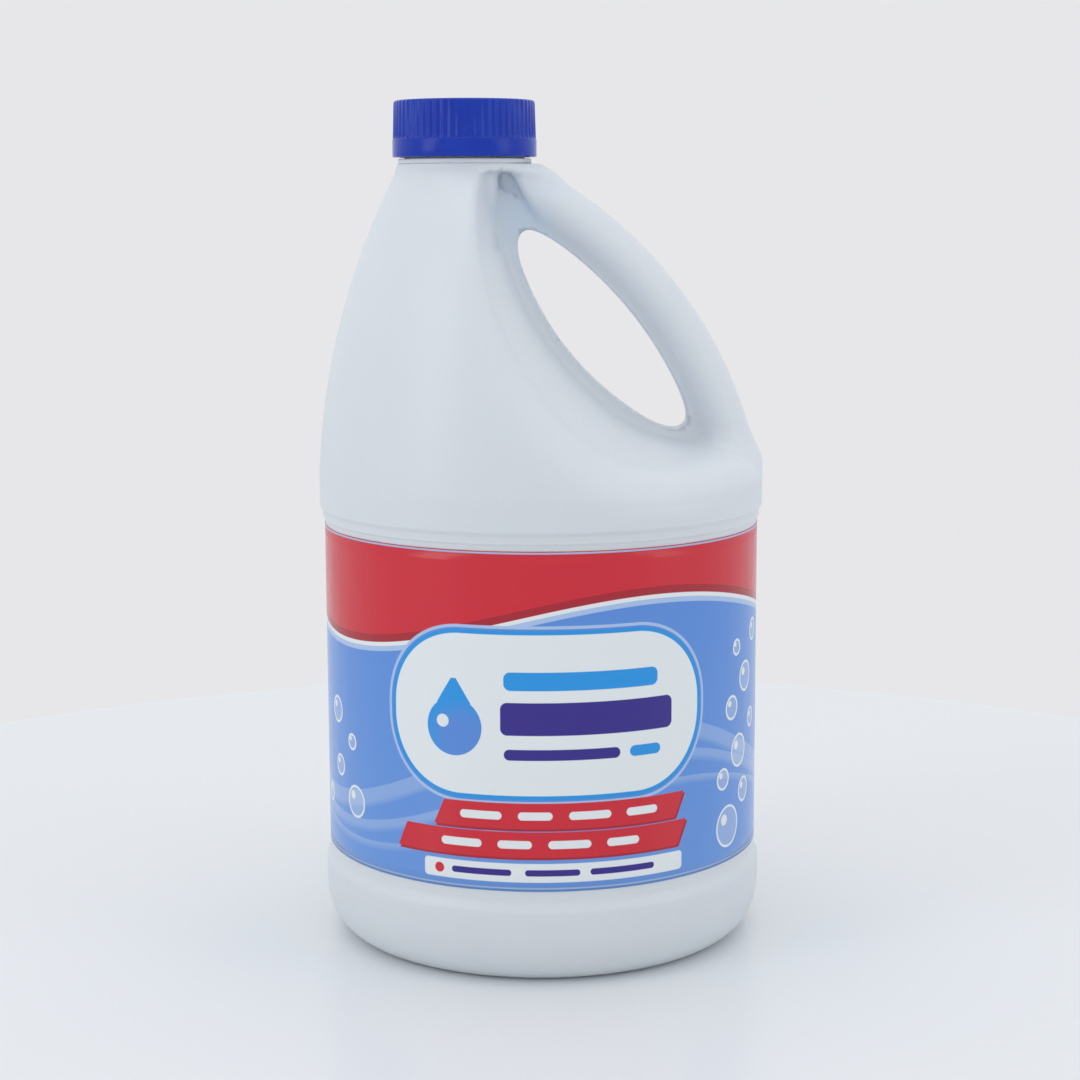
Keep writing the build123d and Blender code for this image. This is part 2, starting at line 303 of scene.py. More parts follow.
def makeBottle():
    b = bottleSizes
    domeBottom, domeTop = b["shoulderTop"] - b["domeLap"], b["collarTop"] - b["neckLap"]
    low = (-b["gridHalf"], -b["gridHalf"], b["gridLow"])
    high = (b["gridHalf"], b["gridHalf"], b["gridHigh"])
    verts, faces = skin(domeField, low, high, b["domeGrid"])
    mesh = bpy.data.meshes.new("dome")
    mesh.from_pydata((verts * mm).tolist(), [], faces.tolist())
    bm = bmesh.new()
    bm.from_mesh(mesh)
    bpy.data.meshes.remove(mesh)
    for height, below in ((domeBottom, True), (domeTop, False)):
        bmesh.ops.bisect_plane(bm, geom=bm.verts[:] + bm.edges[:] + bm.faces[:], dist=1e-6,
                               plane_co=(0, 0, height * mm), plane_no=(0, 0, 1),
                               clear_inner=below, clear_outer=not below)
    points = np.array([v.co for v in bm.verts]) / mm
    inward = -unitNormals(points) * b["wall"]
    inward[(points[:, 2] < domeBottom + 0.01) | (points[:, 2] > domeTop - 0.01), 2] = 0
    inside = {v: Vector((place + shift) * mm) for v, place, shift in zip(bm.verts, points, inward)}
    # draw the dome's lower edge down the side and in to the middle of the base
    outline = bodyProfile(domeBottom - 1.0)
    loop = openEdges(bm, domeBottom - 0.1, domeBottom + 0.1)
    for (r, z), (innerR, innerZ) in reversed(list(zip(outline, drawnIn(outline, b["wall"])))):
        drawn = bmesh.ops.extrude_edge_only(bm, edges=loop)["geom"]
        loop = [g for g in drawn if isinstance(g, bmesh.types.BMEdge)]
        ring = [g for g in drawn if isinstance(g, bmesh.types.BMVert)]
        for v in ring:
            around = Vector((v.co.x, v.co.y, 0)).normalized()
            v.co = around * r * mm + Vector((0, 0, z * mm))
            inside[v] = around * innerR * mm + Vector((0, 0, innerZ * mm))
    bmesh.ops.remove_doubles(bm, verts=ring, dist=1e-5)
    # inner skin and the rim between the two
    outer = bm.verts[:]
    twins = bmesh.ops.duplicate(bm, geom=outer + bm.edges[:] + bm.faces[:])["vert_map"]
    for v in outer:
        twins[v].co = inside[v]
    rims = [e for e in openEdges(bm, domeTop - 0.1, domeTop + 0.1) if e.verts[0] in inside]
    for e in rims:
        one, two = e.verts
        bm.faces.new((one, two, twins[two], twins[one]))
    bmesh.ops.recalc_face_normals(bm, faces=bm.faces)
    bottle = link("bottleShell", bm)
    mesh = bottle.data
    points = np.array([v.co for v in mesh.vertices]) / mm
    normals = np.array([v.vector for v in mesh.vertex_normals])
    dome = points[:, 2] > domeBottom - 0.5
    exact = unitNormals(points[dome])
    exact[domeField(points[dome]) < -0.5 * b["wall"]] *= -1
    normals[dome] = exact
    mesh.normals_split_custom_set_from_vertices(normals.tolist())
    return bottle


neckSizes = {
    "root": 18.2, "crest": 19.4, "bore": 16.4, "capRoot": 19.9, "capCrest": 18.55,
    "pitch": 4.233, "turns": 1.5, "start": 244.0, "rootWidth": 2.0, "crestWidth": 1.2,
    "sunk": 0.3, "edge": 0.4, "steps": 96,
}


def addThread(bm, root, crest, start):
    # helical ridge from its root to its crest, closed at both ends
    n = neckSizes
    foot = root - n["sunk"] if crest > root else root + n["sunk"]
    wide, thin = n["rootWidth"] / 2, n["crestWidth"] / 2
    section = [(foot, start - wide), (crest, start - thin), (crest, start + thin), (foot, start + wide)]
    before = set(bm.faces)
    spinProfile(bm, section, int(n["steps"] * n["turns"]), 2 * math.pi * n["turns"],
                n["pitch"] * n["turns"], closed=True)
    ridge = [f for f in bm.faces if f not in before]
    ends = {e for f in ridge for e in f.edges if e.is_boundary}
    caps = bmesh.ops.holes_fill(bm, edges=list(ends), sides=0)["faces"]
    bmesh.ops.recalc_face_normals(bm, faces=ridge + caps)


def roundEdges(bm, width, angle=35, segments=3):
    sharp = [e for e in bm.edges if e.is_manifold and e.calc_face_angle() > math.radians(angle)]
    bmesh.ops.bevel(bm, geom=sharp, offset=width * mm, offset_type="OFFSET", segments=segments,
                    profile=0.5, affect="EDGES", clamp_overlap=True, material=-1)


def makeNeck():
    n, b = neckSizes, bottleSizes
    bottom = b["collarTop"] - b["neckLap"]
    profile = [(n["bore"], bottom), (b["collarRadius"], bottom), (b["collarRadius"], b["collarTop"]),
               (n["root"], b["collarTop"]), (n["root"], rimZ), (n["bore"], rimZ)]
    bm = bmesh.new()
    spinProfile(bm, profile, n["steps"] * 2, closed=True)
    bmesh.ops.recalc_face_normals(bm, faces=bm.faces)
    roundEdges(bm, n["edge"])
    addThread(bm, n["root"], n["crest"], n["start"])
    bmesh.ops.translate(bm, verts=bm.verts, vec=(neckX * mm, 0, 0))
    return link("bottleNeck", bm)


bottleShell = makeBottle()
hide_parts("bottle")
bottleNeck = makeNeck()
for piece in (bottleShell, bottleNeck):
    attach(piece, "bottle")
print("bottle made", len(bottleShell.data.polygons), "faces")

capSizes = {
    "bandHeight": 5.3, "ledge": 0.15, "taper": 0.3, "edge": 0.9, "lowEdge": 0.35,
    "flutes": 60, "fluteDepth": 0.45, "stepsPerFlute": 10,
    "dishRadius": 17.5, "dishDepth": 0.25, "gateRadius": 1.6,
}


def makeCap():
    c, n = capSizes, neckSizes
    radius = (capBox[1].x - capBox[0].x) / 2
    low, high, inside = capBox[0].z, capBox[1].z, sealBox[1].z
    ledge = low + c["bandHeight"]
    upper = radius - c["ledge"]
    topRadius = upper - c["taper"]
    corner = [(topRadius - c["edge"] * (1 - math.cos(a)), high - c["edge"] * (1 - math.sin(a)))
              for a in np.linspace(0, math.pi / 2, 6)]
    foot = [(radius - c["lowEdge"] * (1 - math.sin(a)), low + c["lowEdge"] * (1 - math.cos(a)))
            for a in np.linspace(0, math.pi / 2, 4)]
    sink = high - c["dishDepth"]
    profile = [(0, inside), (n["capRoot"], inside), (n["capRoot"], low)] + foot
    profile += [(radius, ledge - 0.12), (radius - 0.05, ledge - 0.03), (upper, ledge)]
    profile += [(upper + (topRadius - upper) * t, ledge + (high - c["edge"] - ledge) * t)
                for t in (0.04, 0.12, 0.35, 0.7)]
    profile += corner
    profile += [(c["dishRadius"] + 0.4, high), (c["dishRadius"], sink), (c["gateRadius"] + 0.3, sink),
                (c["gateRadius"], sink - 0.15), (0, sink - 0.15)]
    bm = bmesh.new()
    spinProfile(bm, profile, c["flutes"] * c["stepsPerFlute"])
    bmesh.ops.remove_doubles(bm, verts=bm.verts, dist=1e-6)
    # press the flutes into the grip
    for v in bm.verts:
        r, z = math.hypot(v.co.x, v.co.y) / mm, v.co.z / mm
        if z < ledge + 0.05 or r < topRadius - c["edge"] + 0.01:
            continue
        turn = math.atan2(v.co.y, v.co.x) * c["flutes"]
        wave = (0.5 + 0.5 * math.cos(turn)) ** 0.8
        rise = float(smoothStep(ledge, ledge + 0.8, z))
        fade = 1 - c["taper"] / c["fluteDepth"] * (z - ledge) / (high - ledge)
        shrink = 1 - c["fluteDepth"] * wave * rise * fade / r
        v.co.x *= shrink
        v.co.y *= shrink
    bmesh.ops.recalc_face_normals(bm, faces=bm.faces)
    addThread(bm, n["capRoot"], n["capCrest"], n["start"] - n["pitch"] / 2)
    bmesh.ops.translate(bm, verts=bm.verts, vec=(neckX * mm, 0, 0))
    return link("screwCap", bm)


screwCap = makeCap()
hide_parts("cap")
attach(screwCap, "cap")
print("cap made", len(screwCap.data.polygons), "faces")

labelSizes = {
    "radius": 66.93, "film": 0.14, "lap": 9.0, "lapRise": 0.18, "columns": 360, "rows": 28,
    "lapStart": 0.045, "lapEnd": 0.03, "edgeBand": 0.03,  # shares of the sheet
    "edgeLift": 0.06, "ripple": 0.035, "uvScale": 100.0,
}


def makeLabel():
    s = labelSizes
    low, high = labelBox[0].z, labelBox[1].z
    lapTurn = s["lap"] / s["radius"]
    bm = bmesh.new()
    bmesh.ops.create_grid(bm, x_segments=s["columns"], y_segments=s["rows"], size=1.0)
    layer = bm.loops.layers.uv.new("print")
    sheet = {v: ((v.co.x + 1) / 2, (v.co.y + 1) / 2) for v in bm.verts}
    for face in bm.faces:
        for corner in face.loops:
            t, up = sheet[corner.vert]
            along = ((t - 0.5) * (2 * math.pi + lapTurn)) * s["radius"]
            corner[layer].uv = (along / s["uvScale"], (low + (high - low) * up) / s["uvScale"])
    for v, (t, up) in sheet.items():
        angle = -math.pi / 2 + (t - 0.5) * (2 * math.pi + lapTurn)
        near = 1 - t
        lift = s["lapRise"] * float(smoothStep(s["lapStart"], s["lapEnd"], near))
        edge = s["edgeLift"] * float(smoothStep(s["edgeBand"], 0.0, min(up, 1 - up)))
        ripple = s["ripple"] * math.sin(9 * angle + 5 * up) * math.sin(31 * angle - 3 * up)
        r = s["radius"] + lift + edge * abs(math.sin(7 * angle)) + abs(ripple)
        v.co = Vector((r * math.cos(angle), r * math.sin(angle), low + (high - low) * up)) * mm
    label = link("labelFilm", bm)
    if label.data.polygons[0].normal.dot(label.data.polygons[0].center) < 0:
        label.data.flip_normals()
    solid = label.modifiers.new("film", "SOLIDIFY")
    solid.thickness = s["film"] * mm
    solid.offset = 0.0
    return label


labelFilm = makeLabel()
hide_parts("label")
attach(labelFilm, "bottle")
print("label made")


def linear(r, g, b):
    # screen colour, 0 to 255, as the shader takes it
    out = [c / 255 for c in (r, g, b)]
    return (*[c / 12.92 if c <= 0.04045 else ((c + 0.055) / 1.055) ** 2.4 for c in out], 1.0)


def newMaterial(name):
    mat = bpy.data.materials.new(name)
    mat.use_nodes = True
    return mat, mat.node_tree, mat.node_tree.nodes["Principled BSDF"]


def paint(obj, mat):
    obj.data.materials.clear()
    obj.data.materials.append(mat)


def calc(tree, operation, *values):
    node = tree.nodes.new("ShaderNodeMath")
    node.operation = operation
    for socket, value in zip(node.inputs, values):
        if isinstance(value, (int, float)):
            socket.default_value = value
        else:
            tree.links.new(value, socket)
    return node.outputs[0]


def blendColor(tree, mask, under, over):
    node = tree.nodes.new("ShaderNodeMix")
    node.data_type = "RGBA"
    for socket, value in zip((node.inputs[0], node.inputs[6], node.inputs[7]), (mask, under, over)):
        if isinstance(value, (int, float, tuple)):
            socket.default_value = value
        else:
            tree.links.new(value, socket)
    return node.outputs[2]


def shaderGroup(name, inputs, outputs):
    tree = bpy.data.node_groups.new(name, "ShaderNodeTree")
    for label, value in inputs:
        socket = tree.interface.new_socket(label, in_out="INPUT", socket_type="NodeSocketFloat")
        socket.default_value = value
    for label in outputs:
        tree.interface.new_socket(label, in_out="OUTPUT", socket_type="NodeSocketFloat")
    return tree, tree.nodes.new("NodeGroupInput").outputs, tree.nodes.new("NodeGroupOutput").inputs


def mouldGroup():
    # fine moulded texture and broad unevenness as one height, in metres
    tree, inp, out = shaderGroup("mouldTexture", [("Fine", 0.00002), ("Broad", 0.0001),
                                                  ("Fine Scale", 900.0), ("Broad Scale", 25.0)],
                                 ["Height", "Mottle"])
    coord = tree.nodes.new("ShaderNodeTexCoord").outputs["Object"]
    heights = []
    for size, scale, detail in (("Fine", "Fine Scale", 3.0), ("Broad", "Broad Scale", 2.0)):
        node = tree.nodes.new("ShaderNodeTexNoise")
        node.inputs["Detail"].default_value = detail
        tree.links.new(coord, node.inputs["Vector"])
        tree.links.new(inp[scale], node.inputs["Scale"])
        heights.append(calc(tree, "MULTIPLY", node.outputs["Fac"], inp[size]))
    tree.links.new(calc(tree, "ADD", *heights), out["Height"])
    tree.links.new(node.outputs["Fac"], out["Mottle"])
    return tree


mouldTexture = mouldGroup()


def addGroup(tree, group, **values):
    node = tree.nodes.new("ShaderNodeGroup")
    node.node_tree = group
    for name, value in values.items():
        socket = node.inputs[name.replace("_", " ")]
        if isinstance(value, (int, float)):
            socket.default_value = value
        else:
            tree.links.new(value, socket)
    return node.outputs


def bump(tree, height, bsdf):
    node = tree.nodes.new("ShaderNodeBump")
    node.inputs["Strength"].default_value = 1.0
    node.inputs["Distance"].default_value = 1.0
    tree.links.new(height, node.inputs["Height"])
    tree.links.new(node.outputs["Normal"], bsdf.inputs["Normal"])


def variedRoughness(tree, bsdf, mottle, look):
    rough = calc(tree, "MULTIPLY_ADD", mottle, look["roughnessSpread"],
                 look["roughness"] - look["roughnessSpread"] / 2)
    tree.links.new(rough, bsdf.inputs["Roughness"])


bottleLook = {
    # thin is a painted light colour, laid over the web beside the handle in place of light showing
    # through it
    "color": (215, 221, 230), "warm": (218, 224, 231), "thin": (212, 228, 248),
    "paintedLightPlace": (-4.0, 0.0, 222.0), "paintedLightSize": (9.0, 12.0, 14.0),
    "roughness": 0.36, "roughnessSpread": 0.12,
    "subsurface": 0.3, "subsurfaceScale": 0.004, "subsurfaceRadius": (0.8, 0.9, 1.2),
    "lineHeight": 0.00005, "lineWidth": 0.00025,
    "mould": {"Fine": 0.000012, "Broad": 0.00016, "Fine_Scale": 1100.0, "Broad_Scale": 38.0},
}


def bottlePlastic():
    look = bottleLook
    mat, tree, bsdf = newMaterial("milkyPlastic")
    mould = addGroup(tree, mouldTexture, **look["mould"])
    # mould line round the bottle in the handle's plane
    place = tree.nodes.new("ShaderNodeSeparateXYZ")
    tree.links.new(tree.nodes.new("ShaderNodeTexCoord").outputs["Object"], place.inputs[0])
    off = calc(tree, "DIVIDE", place.outputs["Y"], look["lineWidth"])
    line = calc(tree, "EXPONENT", calc(tree, "MULTIPLY", calc(tree, "MULTIPLY", off, off), -1.0))
    height = calc(tree, "ADD", mould["Height"], calc(tree, "MULTIPLY", line, look["lineHeight"]))
    bump(tree, height, bsdf)
    color = blendColor(tree, mould["Mottle"], linear(*look["color"]), linear(*look["warm"]))
    # painted light: a paler, bluer patch over the pinched web beside the handle, standing in for light
    # showing through the thin plastic there
    spread = 0.0
    for axis, at, size in zip("XYZ", look["paintedLightPlace"], look["paintedLightSize"]):
        away = calc(tree, "DIVIDE", calc(tree, "SUBTRACT", place.outputs[axis], at * mm), size * mm)
        spread = calc(tree, "MULTIPLY_ADD", away, away, spread)
    # mask of the painted light over the web, strongest at its middle
    thin = calc(tree, "EXPONENT", calc(tree, "MULTIPLY", spread, -1.0))
    color = blendColor(tree, thin, color, linear(*look["thin"]))
    tree.links.new(color, bsdf.inputs["Base Color"])
    variedRoughness(tree, bsdf, mould["Mottle"], look)
    bsdf.inputs["Subsurface Weight"].default_value = look["subsurface"]
    bsdf.inputs["Subsurface Radius"].default_value = look["subsurfaceRadius"]
    bsdf.inputs["Subsurface Scale"].default_value = look["subsurfaceScale"]
    return mat


capLook = {
    "color": (0, 38, 156), "worn": (0, 56, 172),
    "roughness": 0.22, "roughnessSpread": 0.1, "specular": 0.3,
    "mould": {"Fine": 0.000008, "Broad": 0.00003, "Fine_Scale": 1500.0, "Broad_Scale": 120.0},
}


def capPlastic():
    look = capLook
    mat, tree, bsdf = newMaterial("bluePlastic")
    mould = addGroup(tree, mouldTexture, **look["mould"])
    bump(tree, mould["Height"], bsdf)
    color = blendColor(tree, mould["Mottle"], linear(*look["color"]), linear(*look["worn"]))
    tree.links.new(color, bsdf.inputs["Base Color"])
    variedRoughness(tree, bsdf, mould["Mottle"], look)
    bsdf.inputs["Specular IOR Level"].default_value = look["specular"]
    return mat


sealLook = {
    "color": (222, 223, 220), "pale": (236, 236, 232), "roughness": 0.85,
    "mould": {"Fine": 0.00006, "Broad": 0.00002, "Fine_Scale": 2200.0, "Broad_Scale": 200.0},
}


def sealFoam():
    look = sealLook
    mat, tree, bsdf = newMaterial("sealFoam")
    mould = addGroup(tree, mouldTexture, **look["mould"])
    bump(tree, mould["Height"], bsdf)
    color = blendColor(tree, mould["Mottle"], linear(*look["color"]), linear(*look["pale"]))
    tree.links.new(color, bsdf.inputs["Base Color"])
    bsdf.inputs["Roughness"].default_value = look["roughness"]
    return mat


labelLook = {
    "blue": (84, 136, 214), "blueLow": (100, 148, 218), "pale": (168, 192, 228),
    "red": (204, 26, 46), "redDark": (166, 16, 38), "white": (226, 231, 233),
    "cyan": (24, 146, 222), "indigo": (44, 26, 132),
    "roughness": 0.2, "roughnessSpread": 0.12,
    "mould": {"Fine": 0.000004, "Broad": 0.0002, "Fine_Scale": 1800.0, "Broad_Scale": 55.0},
}
# the print on the label, in millimetres from the middle of the front and up from the floor
printSizes = {
    "waveLength": 210, "bandShade": 0.45,
    "bands": ((60, 15, -30, 5.0), (53, 13, -20, 3.0), (47, 11, -12, 1.6)),  # level, swing, shift, width
    "headSwing": 8.5, "headShift": -18,
    "headLevels": ((103.5, "pale"), (105.0, "white"), (106.2, "redDark"), (108.5, "red")),
    "panelPlace": (2, 81), "panelSize": (96, 47), "panelCorner": 22,
    "panelRims": ((5.2, "pale"), (3.4, "blue"), (2.4, "cyan"), (0.0, "white")),
    "dropPlace": (-26, 77), "dropRadius": 8.5, "dropTop": 92.5, "dropTaper": 0.62,
    "tipRise": 9, "tipSize": 10.5, "tipCorner": 0.6,
    "dropShade": (2.5, -3), "shadeSoft": 6.0, "glint": (-3.5, 1.5), "glintRadius": 1.9,
    "bars": ((12, 91, 46, 5.4, "cyan"), (14, 80, 52, 9.6, "indigo"), (6, 69.5, 34, 3.2, "indigo"),
             (31, 69.5, 10, 3.2, "cyan")),  # middle, size and ink
    "ribbons": ((6, 51.5, 74), (0, 43.0, 88)), "ribbonHeight": 7.6, "ribbonCorner": 0.4,
    "ribbonSkew": -0.45, "ribbonShadow": (0.6, -0.7),
    "marks": 4, "markFirst": -24, "markStep": 16, "markLong": 12.5, "markShorter": 2.5, "markHeight": 2.4,
    "stripPlace": (4, 34.6), "stripSize": (80, 5.6), "stripCorner": 1.2,
    "stripDot": -31, "stripDotRadius": 1.5,
    "stripBars": ((-18, 18), (3, 16), (24, 20)), "stripBarHeight": 1.9, "stripBarCorner": 0.9,
    "bubbles": ((66, 40, 6.5), (77, 49, 4.0), (63, 55, 3.4), (73, 62, 5.2), (84, 70, 3.2),
                (68, 76, 3.8), (78, 84, 4.8), (71, 94, 2.6), (86, 97, 3.6), (-66, 48, 5.0),
                (-77, 57, 3.4), (-68, 66, 2.6), (-79, 74, 4.2), (-88, 46, 3.0)),  # middle and radius
    "bubbleFill": 0.25, "bubbleLine": 0.7, "bubbleGlint": 0.26, "glintOff": 0.35,
    "rowStep": 2.4, "rowInk": 0.42, "strokeStep": 1.3, "strokeInk": 0.8,
    "backMiddle": 152, "backPanel": (76, 84, 78, 4.0), "backText": (82, 76, 58, 0.5),
    "backTitle": (108, 60, 4.0, 1.0),  # height, size and corner
    "blockPatch": (136, 44.5, 34, 11, 0.1), "blockStep": 0.45,
    "edgeLow": 0.9, "edgeHigh": 0.5, "edgeLine": (440, 0.5, 0.1),
}


def softEdge(tree, depth, soft):
    # 0 outside to 1 inside, from the depth inside an edge
    over = calc(tree, "ADD", calc(tree, "DIVIDE", depth, soft), 0.5)
    return calc(tree, "MINIMUM", calc(tree, "MAXIMUM", over, 0.0), 1.0)


def patchGroup():
    # 1 inside a rounded patch, which leans by the skew
    tree, inp, out = shaderGroup("roundedPatch", [("U", 0.0), ("V", 0.0), ("At U", 0.0), ("At V", 0.0),
                                                  ("Half Width", 10.0), ("Half Height", 5.0),
                                                  ("Corner", 2.0), ("Skew", 0.0), ("Soft", 0.2)],
                                 ["Mask"])
    v = calc(tree, "SUBTRACT", inp["V"], inp["At V"])
    u = calc(tree, "MULTIPLY_ADD", v, inp["Skew"], calc(tree, "SUBTRACT", inp["U"], inp["At U"]))
    parts = []
    for value, half in ((u, inp["Half Width"]), (v, inp["Half Height"])):
        past = calc(tree, "SUBTRACT", calc(tree, "ABSOLUTE", value),
                    calc(tree, "SUBTRACT", half, inp["Corner"]))
        past = calc(tree, "MAXIMUM", past, 0.0)
        parts.append(calc(tree, "MULTIPLY", past, past))
    length = calc(tree, "SQRT", calc(tree, "ADD", *parts))
    depth = calc(tree, "SUBTRACT", inp["Corner"], length)
    tree.links.new(softEdge(tree, depth, inp["Soft"]), out["Mask"])
    return tree


def waveGroup():
    # 1 above a wave line
    tree, inp, out = shaderGroup("waveLine", [("U", 0.0), ("V", 0.0), ("Level", 0.0), ("Swing", 4.0),
                                              ("Length", 100.0), ("Shift", 0.0), ("Soft", 0.2)],
                                 ["Mask"])
    turn = calc(tree, "DIVIDE", calc(tree, "SUBTRACT", inp["U"], inp["Shift"]), inp["Length"])
    rise = calc(tree, "MULTIPLY", calc(tree, "SINE", calc(tree, "MULTIPLY", turn, 2 * math.pi)),
                inp["Swing"])
    depth = calc(tree, "SUBTRACT", inp["V"], calc(tree, "ADD", inp["Level"], rise))
    tree.links.new(softEdge(tree, depth, inp["Soft"]), out["Mask"])
    return tree


def ringGroup():
    # 1 on a ring; with its width twice its radius it is a disc
    tree, inp, out = shaderGroup("ringMark", [("U", 0.0), ("V", 0.0), ("At U", 0.0), ("At V", 0.0),
                                              ("Radius", 5.0), ("Width", 1.0), ("Soft", 0.2)],
                                 ["Mask"])
    parts = []
    for axis in "UV":
        off = calc(tree, "SUBTRACT", inp[axis], inp["At " + axis])
        parts.append(calc(tree, "MULTIPLY", off, off))
    length = calc(tree, "SQRT", calc(tree, "ADD", *parts))
    half = calc(tree, "MULTIPLY", inp["Width"], 0.5)
    middle = calc(tree, "SUBTRACT", inp["Radius"], half)
    off = calc(tree, "ABSOLUTE", calc(tree, "SUBTRACT", length, middle))
    depth = calc(tree, "SUBTRACT", half, off)
    tree.links.new(softEdge(tree, depth, inp["Soft"]), out["Mask"])
    return tree


def labelPrint():
    look, size = labelLook, printSizes
    mat, tree, bsdf = newMaterial("printedFilm")
    uv = tree.nodes.new("ShaderNodeUVMap")
    uv.uv_map = "print"
    split = tree.nodes.new("ShaderNodeSeparateXYZ")
    tree.links.new(uv.outputs["UV"], split.inputs[0])
    u = calc(tree, "MULTIPLY", split.outputs["X"], labelSizes["uvScale"])
    v = calc(tree, "MULTIPLY", split.outputs["Y"], labelSizes["uvScale"])
    patchTree, waveTree, ringTree = patchGroup(), waveGroup(), ringGroup()
    ink = {name: linear(*value) for name, value in look.items() if isinstance(value, tuple)}

    def patch(atU, atV, width, height, corner, skew=0.0):
        return addGroup(tree, patchTree, U=u, V=v, At_U=atU, At_V=atV, Half_Width=width / 2,
                        Half_Height=height / 2, Corner=corner, Skew=skew)["Mask"]

    def wave(level, swing, shift, soft=0.2):
        return addGroup(tree, waveTree, U=u, V=v, Level=level, Swing=swing,
                        Length=size["waveLength"], Shift=shift, Soft=soft)["Mask"]

    def ring(atU, atV, radius, width, soft=0.2):
        return addGroup(tree, ringTree, U=u, V=v, At_U=atU, At_V=atV, Radius=radius, Width=width,
                        Soft=soft)["Mask"]

    def disc(atU, atV, radius, soft=0.2):
        return ring(atU, atV, radius, 2 * radius, soft)

    def both(a, b):
        return calc(tree, "MULTIPLY", a, b)

    def without(a, b):
        return both(a, calc(tree, "SUBTRACT", 1.0, b))

    # blue ground, paler to the bottom, with slow bands
    fall = calc(tree, "DIVIDE", calc(tree, "SUBTRACT", labelBox[1].z, v), labelBox[1].z - labelBox[0].z)
    color = blendColor(tree, fall, ink["blue"], ink["blueLow"])
    for level, swing, shift, thick in size["bands"]:
        band = without(wave(level, swing, shift, 2.0), wave(level + thick, swing, shift, 0.3))
        color = blendColor(tree, both(band, size["bandShade"]), color, ink["pale"])
    # red head band with piping under it
    for level, name in size["headLevels"]:
        color = blendColor(tree, wave(level, size["headSwing"], size["headShift"]), color, ink[name])
    # white panel with three outlines
    (atU, atV), (width, height), corner = size["panelPlace"], size["panelSize"], size["panelCorner"]
    for grow, name in size["panelRims"]:
        panel = patch(atU, atV, width + grow, height + grow, corner + grow / 2)
        color = blendColor(tree, panel, color, ink[name])
    # drop and plain bars in the panel
    atU, atV = size["dropPlace"]
    tip = patch(atU, atV + size["tipRise"], size["tipSize"], size["tipSize"], size["tipCorner"])
    tipTaper = calc(tree, "LESS_THAN", calc(tree, "ABSOLUTE", calc(tree, "SUBTRACT", u, atU)),
                    both(calc(tree, "SUBTRACT", size["dropTop"], v), size["dropTaper"]))
    drop = calc(tree, "MAXIMUM", disc(atU, atV, size["dropRadius"]), both(tip, tipTaper))
    color = blendColor(tree, drop, color, ink["cyan"])
    shadeU, shadeV = size["dropShade"]
    shade = disc(atU + shadeU, atV + shadeV, size["dropRadius"], size["shadeSoft"])
    color = blendColor(tree, both(drop, shade), color, ink["blue"])
    glintU, glintV = size["glint"]
    glint = disc(atU + glintU, atV + glintV, size["glintRadius"])
    color = blendColor(tree, glint, color, ink["white"])
    for atU, atV, width, height, name in size["bars"]:
        color = blendColor(tree, patch(atU, atV, width, height, min(height, 4.0) / 2), color, ink[name])
    # two ribbons and a pale strip, with plain marks
    height, corner, skew = size["ribbonHeight"], size["ribbonCorner"], size["ribbonSkew"]
    shadowU, shadowV = size["ribbonShadow"]
    for atU, atV, width in size["ribbons"]:
        shadow = patch(atU + shadowU, atV + shadowV, width, height, corner, skew)
        color = blendColor(tree, shadow, color, ink["redDark"])
        color = blendColor(tree, patch(atU, atV, width, height, corner, skew), color, ink["red"])
        for k in range(size["marks"]):
            long = size["markLong"] - size["markShorter"] * (k % 2)
            mark = patch(atU + size["markFirst"] + size["markStep"] * k, atV, long,
                         size["markHeight"], size["markHeight"] / 2)
            color = blendColor(tree, mark, color, ink["white"])
    atU, atV = size["stripPlace"]
    color = blendColor(tree, patch(atU, atV, *size["stripSize"], size["stripCorner"]), color,
                       ink["white"])
    color = blendColor(tree, disc(size["stripDot"], atV, size["stripDotRadius"]), color, ink["red"])
    for atU, width in size["stripBars"]:
        bar = patch(atU, atV, width, size["stripBarHeight"], size["stripBarCorner"])
        color = blendColor(tree, bar, color, ink["indigo"])
    # bubbles at the two sides
    for atU, atV, radius in size["bubbles"]:
        fill = both(disc(atU, atV, radius), size["bubbleFill"])
        off = radius * size["glintOff"]
        for mask in (fill, ring(atU, atV, radius, size["bubbleLine"]),
                     disc(atU - off, atV + off, radius * size["bubbleGlint"])):
            color = blendColor(tree, mask, color, ink["white"])
    # back: pale panels with rows of short strokes in place of print, and plain bars
    rows = calc(tree, "DIVIDE", v, size["rowStep"])
    inRow = calc(tree, "LESS_THAN", calc(tree, "FRACT", rows), size["rowInk"])
    speck = tree.nodes.new("ShaderNodeTexWhiteNoise")
    speck.noise_dimensions = "2D"
    cell = tree.nodes.new("ShaderNodeCombineXYZ")
    columns = calc(tree, "DIVIDE", u, size["strokeStep"])
    tree.links.new(calc(tree, "FLOOR", columns), cell.inputs["X"])
    tree.links.new(calc(tree, "FLOOR", rows), cell.inputs["Y"])
    tree.links.new(cell.outputs[0], speck.inputs["Vector"])
    stroke = both(inRow, calc(tree, "LESS_THAN", speck.outputs["Value"], size["strokeInk"]))
    for atU in (-size["backMiddle"], size["backMiddle"]):
        color = blendColor(tree, patch(atU, *size["backPanel"]), color, ink["white"])
        color = blendColor(tree, both(stroke, patch(atU, *size["backText"])), color, ink["indigo"])
        color = blendColor(tree, patch(atU, *size["backTitle"]), color, ink["red"])
    barCell = tree.nodes.new("ShaderNodeTexWhiteNoise")
    barCell.noise_dimensions = "1D"
    columns = calc(tree, "DIVIDE", u, size["blockStep"])
    tree.links.new(calc(tree, "FLOOR", columns), barCell.inputs["W"])
    block = both(patch(*size["blockPatch"]), calc(tree, "LESS_THAN", barCell.outputs["Value"], 0.5))
    color = blendColor(tree, block, color, ink["indigo"])
